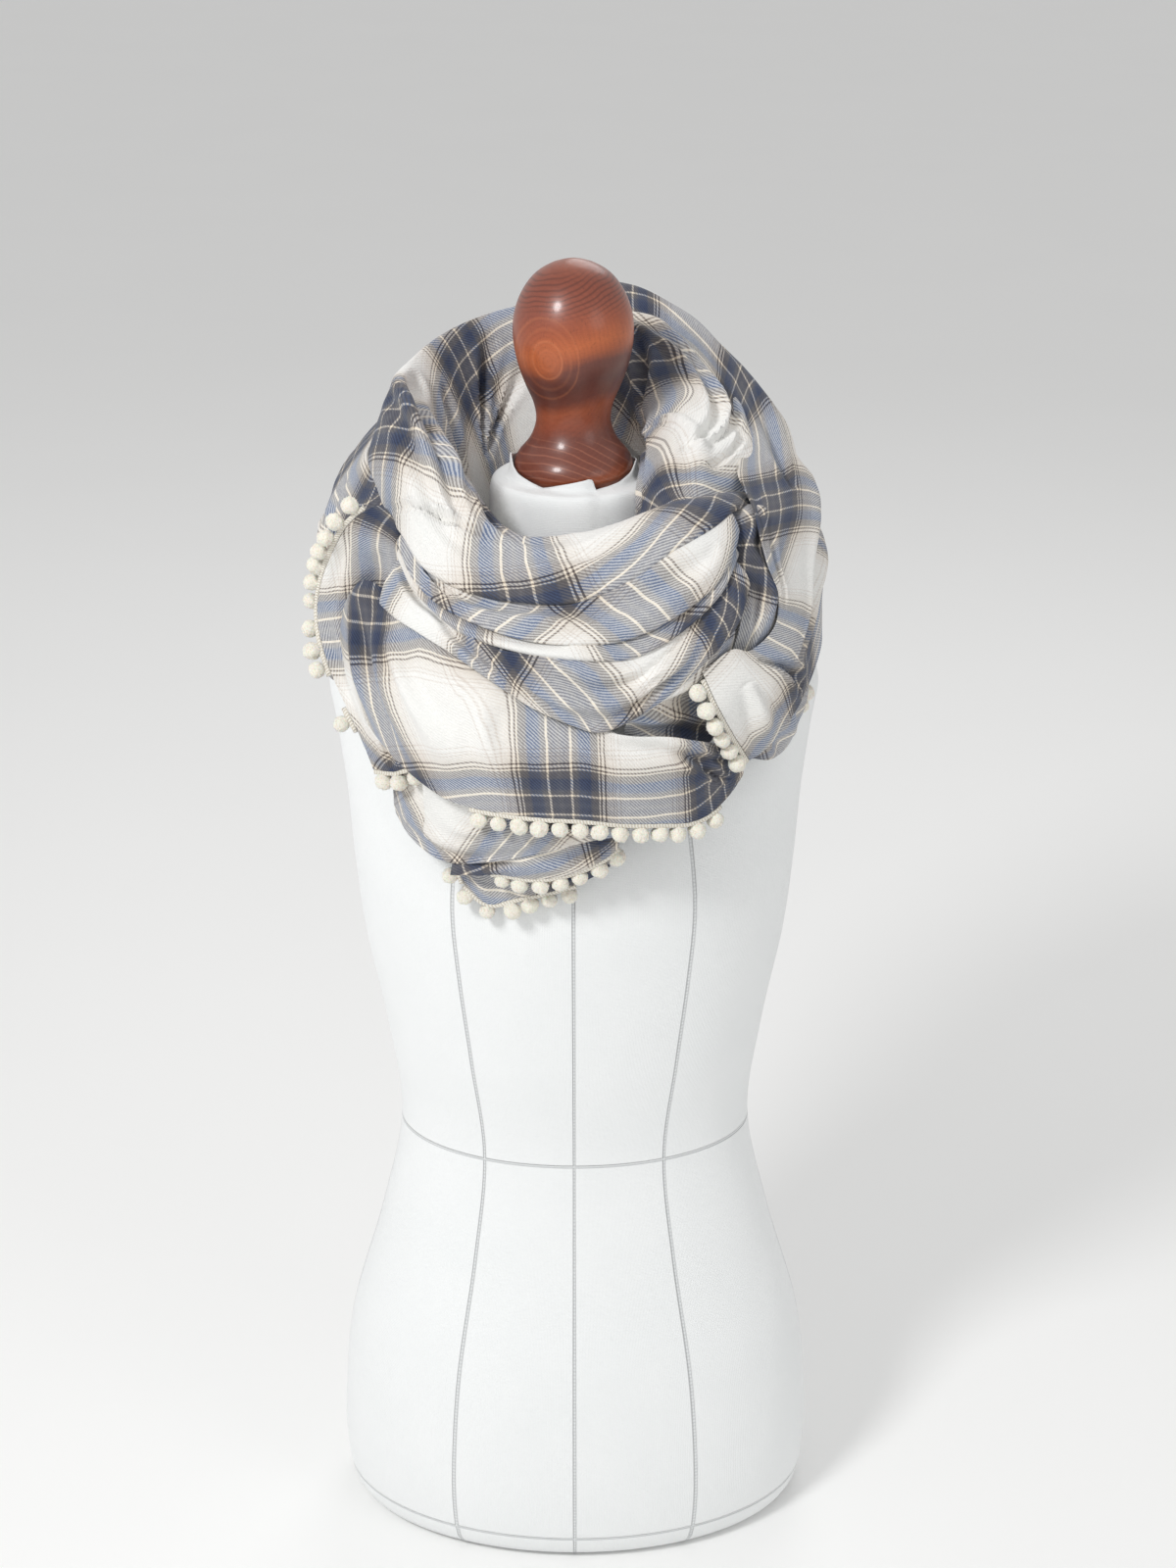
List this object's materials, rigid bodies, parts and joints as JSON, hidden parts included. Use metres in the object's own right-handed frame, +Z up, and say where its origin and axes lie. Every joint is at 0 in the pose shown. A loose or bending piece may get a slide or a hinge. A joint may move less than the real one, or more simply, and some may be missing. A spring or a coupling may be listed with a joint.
{
  "type": "triangle scarf on dress form",
  "caption": "Plaid flannel triangle scarf with a pompom edge, wound round the neck of a limbless dress form with a turned wooden finial.",
  "frame": {"origin": "centre of the bounding box on the floor, under the dress form's flat base", "axes": "+Z up along the dress form, front of the scarf towards -Y, wearer's left towards +X"},
  "size_m": [0.3568, 0.3254, 0.9484],
  "materials": {
    "plaid_cloth": "brushed cotton twill flannel, woven plaid in ivory, blue, taupe and navy",
    "pompom_trim": "ivory cut-yarn pompoms on a narrow tape",
    "form_cover": "matte white knit cover",
    "turned_wood": "stained and polished turned wood"
  },
  "bodies": {
    "root": {"form_torso": "form_cover", "form_finial": "turned_wood", "neck_roll": "plaid_cloth", "inner_fold": "plaid_cloth", "second_roll": "plaid_cloth", "thin_roll": "plaid_cloth", "v_drape": "plaid_cloth", "lower_drape": "plaid_cloth", "outer_wrap": "plaid_cloth", "back_band": "plaid_cloth", "right_fold": "plaid_cloth", "right_tail": "plaid_cloth", "left_fold": "plaid_cloth", "front_panel": "plaid_cloth", "low_fold": "plaid_cloth", "tip_over": "plaid_cloth", "tip_under": "plaid_cloth", "trim_left": "pompom_trim", "trim_left_hem": "pompom_trim", "trim_corner": "pompom_trim", "trim_front_hem": "pompom_trim", "trim_tip_over": "pompom_trim", "trim_tip_under": "pompom_trim", "trim_tail": "pompom_trim"}
  },
  "joints": []
}
